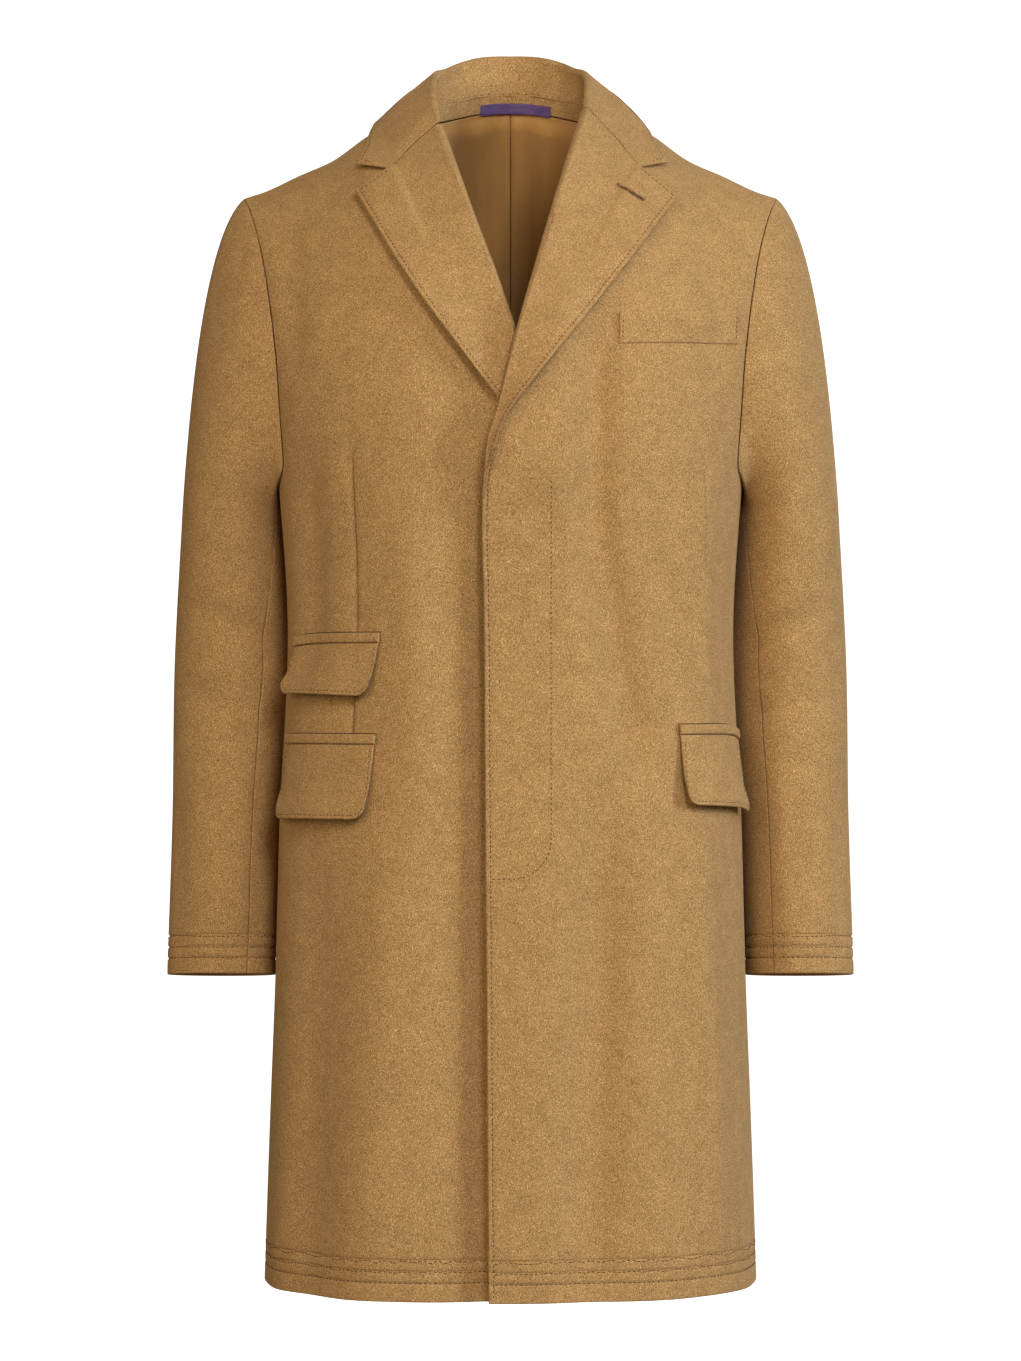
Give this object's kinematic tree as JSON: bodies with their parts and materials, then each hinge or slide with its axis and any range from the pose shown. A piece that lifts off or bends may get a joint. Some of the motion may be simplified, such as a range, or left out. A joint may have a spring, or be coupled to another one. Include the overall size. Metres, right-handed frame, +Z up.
{
  "type": "wool topcoat",
  "caption": "Camel wool single-breasted topcoat with a covered front, notch lapels, flap pockets and a chest welt, filled out as when worn, hollow and open at neck, hem and cuffs.",
  "frame": {"origin": "between the two shoulder neck points, where the wearer's neck and shoulders carry the coat", "axes": "+Z up along the coat's length, the front faces -Y, the wearer's left is +X"},
  "size_m": [0.5994, 0.3434, 1.0731],
  "materials": {
    "wool": "camel melange wool, brushed, matt",
    "lining": "brown satin, soft sheen",
    "label": "plain purple woven ribbon"
  },
  "bodies": {
    "root": {"front_right": "wool", "front_left": "wool", "back_right": "wool", "back_top_right": "wool", "back_left": "wool", "back_top_left": "wool", "topsleeve_right": "wool", "topsleeve_left": "wool", "undersleeve_right": "wool", "undersleeve_left": "wool", "collar": "wool", "lapel_right": "wool", "lapel_left": "wool", "neck_facing": "wool", "welt_chest": "wool", "flap_ticket": "wool", "jet_ticket": "wool", "flap_right": "wool", "jet_right": "wool", "flap_left": "wool", "jet_left": "wool", "lining_right": "lining", "lining_left": "lining", "label": "label"}
  },
  "joints": []
}
